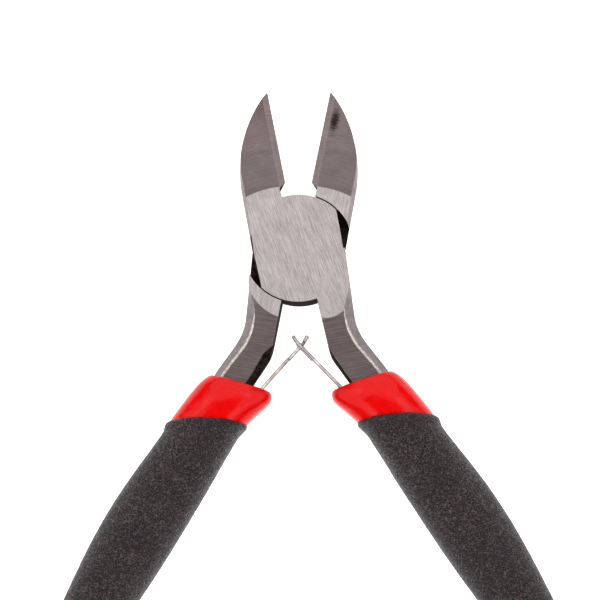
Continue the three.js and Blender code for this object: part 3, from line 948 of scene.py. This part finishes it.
def ground_bevel(side):
    g, colour, rough, normal = streaked(
        "ground_bevel_" + side, side, grey(0.27, (1, 0.83, 0.81)), grey(0.17, (1, 0.8, 0.77)), (0.2, 6, 1),
        roughness=(0.3, 0.42), depth=0.008,
    )
    return g.set(Base_Color=colour, Metallic=1.0, Roughness=rough, Normal=normal)


def ground_tang(side):
    g, colour, rough, normal = streaked(
        "ground_tang_" + side, side, grey(0.21, (1, 0.8, 0.78)), grey(0.08, (1, 0.78, 0.75)), (0.16, 5, 1),
        roughness=(0.32, 0.5), depth=0.016,
    )
    return g.set(Base_Color=colour, Metallic=1.0, Roughness=rough, Normal=normal)


def forged_flank(side):
    g = Graph("forged_flank_" + side)
    vector = g.place(side)
    grains = g.noise(vector, 7.0, 3.0, 0.6)
    patches = g.noise(vector, 0.8, 4.0, 0.6)
    share = g.span(patches, 0.35, 0.65)
    colour = g.mix(share, grey(0.11, (1, 0.83, 0.84)), grey(0.19, (1, 0.84, 0.85)))
    rough = g.span(grains, 0.3, 0.7, 0.5, 0.68)
    normal = g.bump(patches, 0.05, under=g.bump(grains, 0.012))
    return g.set(Base_Color=colour, Metallic=1.0, Roughness=rough, Normal=normal)


# Black oxide of the unground forging, made darker still as painted shade for recesses and walls.
def oxide_and_shade_steel(side):
    g = Graph("oxide_and_shade_steel_" + side)
    vector = g.place(side)
    patches = g.noise(vector, 1.4, 5.0, 0.65)
    share = g.span(patches, 0.4, 0.75)
    colour = g.mix(share, (0.004, 0.003, 0.0025), (0.034, 0.022, 0.018))
    rough = g.span(patches, 0.3, 0.7, 0.7, 0.9)
    return g.set(Base_Color=colour, Roughness=rough, Normal=g.bump(patches, 0.05), Specular_IOR_Level=0.03)


def ridge_highlight(side):
    """A painted highlight on the ridge strip, standing in for the light that the ridge catches."""
    g = Graph("ridge_highlight_" + side)
    vector = g.place(side)
    spots = g.noise(vector, 2.2, 4.0, 0.6)
    # Bright colour painted along the ridge as a highlight.
    colour = g.mix(g.span(spots, 0.35, 0.65), (0.26, 0.22, 0.2), (0.6, 0.54, 0.5))
    rough = g.span(spots, 0.3, 0.7, 0.5, 0.38)
    return g.set(Base_Color=colour, Metallic=1.0, Roughness=rough, Normal=g.bump(spots, 0.02))


def spring_steel(name, low, high):
    g = Graph(name)
    vector = g.place()
    streaks = g.noise(g.node("Mapping", {"Vector": vector, "Scale": (0.7, 0.7, 5)}), 1.0, 3.0, 0.5)
    colour = g.mix(g.span(streaks, 0.35, 0.65), low, high)
    rough = g.span(streaks, 0.3, 0.7, 0.3, 0.4)
    return g.set(Base_Color=colour, Metallic=1.0, Roughness=rough, Normal=g.bump(streaks, 0.004))


def red_vinyl():
    g = Graph("red_vinyl")
    vector = g.place()
    waves = g.noise(vector, 0.32, 2.0, 0.5)
    cloud = g.noise(vector, 0.8, 3.0, 0.55)
    scuffs = g.noise(g.node("Mapping", {"Vector": vector, "Scale": (0.5, 4, 0.5)}), 1.0, 5.0, 0.7)
    colour = g.mix(g.span(cloud, 0.35, 0.7), (0.46, 0.0002, 0.0005), (0.51, 0.001, 0.0012))
    marks = g.span(scuffs, 0.66, 0.74)
    rough = g.math("ADD", g.span(cloud, 0.3, 0.7, 0.16, 0.24), g.math("MULTIPLY", marks, 0.12))
    normal = g.bump(waves, 0.16, under=g.bump(cloud, 0.03))
    return g.set(Base_Color=colour, Roughness=rough, Normal=normal, Specular_IOR_Level=0.13)


def black_vinyl():
    """Crinkled skin: fine winding ridges with grains between them, their raised parts painted light as glints
    and their hollows painted dark as shade.
    """
    g = Graph("black_vinyl")
    vector = g.place()
    winding = g.noise(vector, 2.4, 1.0, 0.5)
    ridges = g.math("ABSOLUTE", g.math("SUBTRACT", winding, 0.5))
    crinkle = g.span(ridges, 0.0, 0.1, 1.0, 0.0)
    grains = g.noise(vector, 4.8, 1.0, 0.5)
    soft = g.noise(vector, 0.14, 3.0, 0.5)
    mixed = g.math("ADD", g.math("MULTIPLY", crinkle, 0.5), g.math("MULTIPLY", grains, 0.9))
    # Painted glints on the grain's raised parts and painted shade in its hollows.
    glint_and_shade_share = g.span(mixed, 0.52, 1.0)
    colour = g.mix(glint_and_shade_share, (0.001, 0.0006, 0.0006), (0.093, 0.064, 0.069))
    colour = g.node("VectorMath", {0: colour, 1: g.span(soft, 0.35, 0.65, 0.8, 1.2)}, operation="MULTIPLY")
    rough = g.span(mixed, 0.4, 1.05, 0.55, 0.3)
    return g.set(Base_Color=colour, Roughness=rough, Normal=g.bump(mixed, 0.42), Specular_IOR_Level=0.26)


def floor_paper():
    g = Graph("floor_paper")
    vector = g.place()
    grain = g.noise(vector, 0.6, 3.0, 0.5)
    colour = g.mix(grain, (0.93, 0.93, 0.93), (0.95, 0.95, 0.95))
    return g.set(
        Base_Color=colour, Roughness=0.9, Specular_IOR_Level=0.1,
        Emission_Color=(1, 1, 1, 1), Emission_Strength=0.7,
    )


# ---------------------------------------------------------------- assembly
def build_half(side, black, red, steels):
    right = side == "right"
    spread = HANDLE_SPREAD if right else -HANDLE_SPREAD
    body, leaf_body = ("front_half", "right_leaf") if right else ("back_half", "left_leaf")
    plate = "front" if right else "back"
    surfaces = [brushed_joint(side), ground_jaw(side), ground_bevel(side)]
    surfaces += [ground_tang(side), forged_flank(side), oxide_and_shade_steel(side), ridge_highlight(side)]
    handle_place = placement(side)

    lever = build_lever(plate + "_lever_steel", plate, spread, surfaces)
    clean(lever)
    round_edges(lever, FINE_EDGE, fine_weight)
    put(lever, placement(side, spread=False))

    leaf = leaf_spring("leaf_spring_" + side + "_strip", "window" if right else "tongue", steels)
    pin = stud("spring_stud_" + side + "_pin", steels[:1])
    sleeve = inner_sleeve("inner_sleeve_" + side + "_vinyl", [red])
    grip = outer_grip("outer_grip_" + side + "_skin", [black], 0 if right else 40)
    for obj in (leaf, pin, sleeve, grip):
        put(obj, handle_place)
    for obj in (lever, leaf, pin, sleeve):
        shade(obj)

    rides = [
        (lever, plate + "_lever", "ground_steel"),
        (pin, "spring_stud_" + side, "spring_steel"),
        (sleeve, "inner_sleeve_" + side, "red_vinyl"),
        (grip, "outer_grip_" + side, "black_vinyl"),
    ]
    for obj, node, slot in rides:
        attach(obj, body)
        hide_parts(node)
    frame_of_leaf = handle_place @ in_leaf_frame()
    start = frame_of_leaf @ Vector((0, 0, 0))
    end = frame_of_leaf @ Vector((LEAF_FLEX, 0, 0))
    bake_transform(leaf, body, leaf_body, start=start, end=end)
    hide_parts("leaf_spring_" + side)


def build_rivet():
    rivet = pivot_rivet([bpy.data.materials["brushed_joint_" + side] for side in ("right", "left")])
    for polygon in rivet.data.polygons:
        polygon.material_index = int(polygon.center.z < MIDDLE)
    rivet.name = rivet.data.name = "pivot_rivet_steel"
    rivet.data.transform(Matrix.Scale(MM, 4))
    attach(rivet, "front_half")
    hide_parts("pivot_rivet")


def area_light(name, place, target, size, power):
    data = bpy.data.lights.new(name, "AREA")
    data.shape = "SQUARE"
    data.size = size
    data.energy = power
    light = bpy.data.objects.new(name, data)
    light.location = place
    light.rotation_mode = "QUATERNION"
    light.rotation_quaternion = (Vector(target) - Vector(place)).to_track_quat("-Z", "Y")
    bpy.context.scene.collection.objects.link(light)


def build_studio():
    """A pale floor just under the tool and four large soft lights round it, in metres."""
    bm = bmesh.new()
    bmesh.ops.create_grid(bm, x_segments=8, y_segments=8, size=3.0)
    bmesh.ops.translate(bm, verts=bm.verts, vec=(0, 0, cad_box[0][2] - 0.0002))
    floor = make_object("floor", bm, [floor_paper()])
    target = (0, -0.01, 0.003)
    reach, height, size, power = 0.5, 0.42, 0.8, 4.0
    for name, across, along in (("left", -1, 0), ("right", 1, 0), ("far", 0, 1), ("near", 0, -1)):
        place = (across * reach, along * reach + target[1], height)
        area_light("light_" + name, place, target, size, power)
    world = bpy.data.worlds.new("studio")
    world.use_nodes = True
    world.node_tree.nodes["Background"].inputs["Color"].default_value = (0.15, 0.15, 0.15, 1)
    bpy.context.scene.world = world


def build_camera():
    """A long lens, nearly square on to the tool; `field` is the width in metres that it takes in."""
    field = 0.105
    lens, sensor = 200, 36
    target = Vector((0.0003, -0.0092, THICKNESS * MM))
    back = Vector((math.sin(math.radians(1.9)), -math.sin(math.radians(7.7)), 0))
    back.z = math.sqrt(1 - back.length_squared)
    data = bpy.data.cameras.new("camera")
    data.lens = lens
    data.sensor_width = sensor
    data.clip_start, data.clip_end = 0.01, 20
    camera = bpy.data.objects.new("camera", data)
    right = Vector((0, 1, 0)).cross(back).normalized()
    up = back.cross(right)
    camera.matrix_world = Matrix.Translation(target + back * (field * lens / sensor)) @ Matrix(
        (right, up, back)
    ).transposed().to_4x4()
    bpy.context.scene.collection.objects.link(camera)
    bpy.context.scene.camera = camera


build_camera()
grip_black, grip_red = black_vinyl(), red_vinyl()
leaf_steel = [
    spring_steel("spring_steel", (0.6, 0.53, 0.49), (0.9, 0.84, 0.8)),
    # Painted shade for the leaves' rounded edges.
    spring_steel("spring_steel_painted_shade", (0.02, 0.014, 0.011), (0.08, 0.06, 0.05)),
]
for hand in ("right", "left"):
    build_half(hand, grip_black, grip_red, leaf_steel)
build_rivet()
build_studio()
bpy.context.scene.view_settings.view_transform = "Standard"
